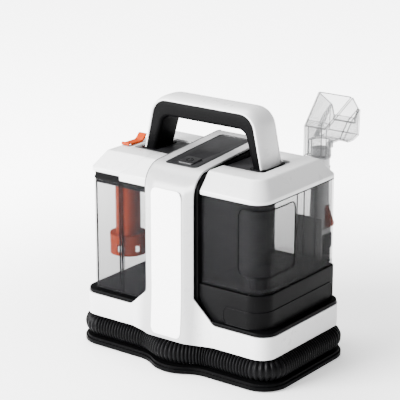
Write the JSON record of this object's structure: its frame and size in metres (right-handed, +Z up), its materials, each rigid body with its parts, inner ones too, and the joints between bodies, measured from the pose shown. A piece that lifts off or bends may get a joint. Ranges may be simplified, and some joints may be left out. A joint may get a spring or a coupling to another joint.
{
  "type": "portable carpet spot cleaner",
  "caption": "Portable spot cleaner: centre column with carrying handle, a clear waste tank and a smoked water tank at the sides, hose wrapped round the base, docked hand tool.",
  "frame": {"origin": "bottom centre of the whole object's box, on the floor", "axes": "+Z up, -Y the front with the centre strip, +X towards the clean water tank"},
  "size_m": [0.368, 0.3202, 0.388],
  "materials": {
    "white_plastic": "satin gloss moulding",
    "black_plastic": "fine texture moulding",
    "grey_panel": "metallic grey paint",
    "grey_plastic": "light grey moulding",
    "orange_plastic": "orange moulding",
    "clear_plastic": "clear moulding",
    "smoke_plastic": "smoke grey clear moulding",
    "rubber": "matte",
    "hose_plastic": "corrugated hose",
    "steel": "zinc plated",
    "board": "circuit board",
    "filter_foam": "open foam"
  },
  "bodies": {
    "chassis": {"base_screws": "steel", "clean_tank_deck": "black_plastic", "column_left": "black_plastic", "column_right": "black_plastic", "control_board": "board", "control_panel": "grey_panel", "cord_gland": "rubber", "dirty_tank_deck": "black_plastic", "exhaust_filter": "filter_foam", "exhaust_grille": "black_plastic", "fan_housing": "black_plastic", "foot_plate": "black_plastic", "front_strip": "white_plastic", "handle_bridge_left": "grey_panel", "handle_bridge_right": "grey_panel", "handle_grip": "black_plastic", "handle_screws": "steel", "handle_shell": "white_plastic", "hose_channel_wall": "black_plastic", "hose_cuff": "black_plastic", "hose_socket": "black_plastic", "left_shoulder": "white_plastic", "lower_skirt": "white_plastic", "motor_can": "steel", "motor_cradle": "black_plastic", "nozzle_window": "clear_plastic", "pump_bay": "black_plastic", "rubber_feet": "rubber", "spine_shell": "white_plastic", "spray_tip": "grey_plastic", "spray_valve": "black_plastic", "suction_duct": "black_plastic", "suction_hose": "hose_plastic", "suction_nozzle": "clear_plastic", "suction_port_seal": "rubber", "tool_dock": "black_plastic", "tool_grip": "grey_plastic", "tool_pipe": "grey_plastic", "trigger_pin": "steel", "water_pump": "black_plastic"},
    "fan": {"fan_wheel": "grey_plastic", "motor_shaft": "steel"},
    "pump_shaft": {"pump_rotor": "grey_plastic"},
    "button": {"power_button": "grey_panel"},
    "dirty_tank_unit": {"dirty_tank": "clear_plastic", "dirty_tank_seal": "rubber", "dirty_tank_lid": "black_plastic", "dirty_tank_cap": "white_plastic", "separator_tube": "orange_plastic", "separator_collar": "orange_plastic", "drain_flap_seat": "rubber", "latch_pin": "steel"},
    "float": {"float_ball": "grey_plastic"},
    "latch": {"dirty_tank_latch": "orange_plastic"},
    "clean_tank_unit": {"clean_tank": "smoke_plastic", "clean_tank_seal": "rubber", "clean_tank_cap": "white_plastic", "clean_tank_foot": "black_plastic", "clean_tank_valve": "black_plastic"},
    "trigger": {"spray_trigger": "orange_plastic"}
  },
  "joints": [
    {"name": "dirty_tank_slide", "type": "slide", "parent": "chassis", "child": "dirty_tank_unit", "axis": [-1, 0, 0], "range_m": [0, 0.13]},
    {"name": "clean_tank_slide", "type": "slide", "parent": "chassis", "child": "clean_tank_unit", "axis": [1, 0, 0], "range_m": [0, 0.13]},
    {"name": "float_rise", "type": "slide", "parent": "dirty_tank_unit", "child": "float", "axis": [0, 0, 1], "range_m": [0, 0.055]},
    {"name": "latch_lift", "type": "hinge", "parent": "dirty_tank_unit", "child": "latch", "pos_m": [-0.1305, -0.0751, 0.3087], "axis": [1, 0, 0], "range_deg": [0, 35], "stiffness_Nm_per_rad": 0.02},
    {"name": "power_button_press", "type": "slide", "parent": "chassis", "child": "button", "axis": [0, 0, -1], "range_m": [0, 0.0015], "stiffness_N_per_m": 300},
    {"name": "trigger_pull", "type": "hinge", "parent": "chassis", "child": "trigger", "pos_m": [0.118, 0.0941, 0.212], "axis": [0, 1, 0], "range_deg": [0, 12], "stiffness_Nm_per_rad": 0.3},
    {"name": "fan_spin", "type": "hinge", "parent": "chassis", "child": "fan", "pos_m": [0, -0.0111, 0.122], "axis": [0, 0, 1], "continuous": true},
    {"name": "pump_spin", "type": "hinge", "parent": "chassis", "child": "pump_shaft", "pos_m": [0, -0.0951, 0.092], "axis": [0, 0, 1], "continuous": true}
  ]
}
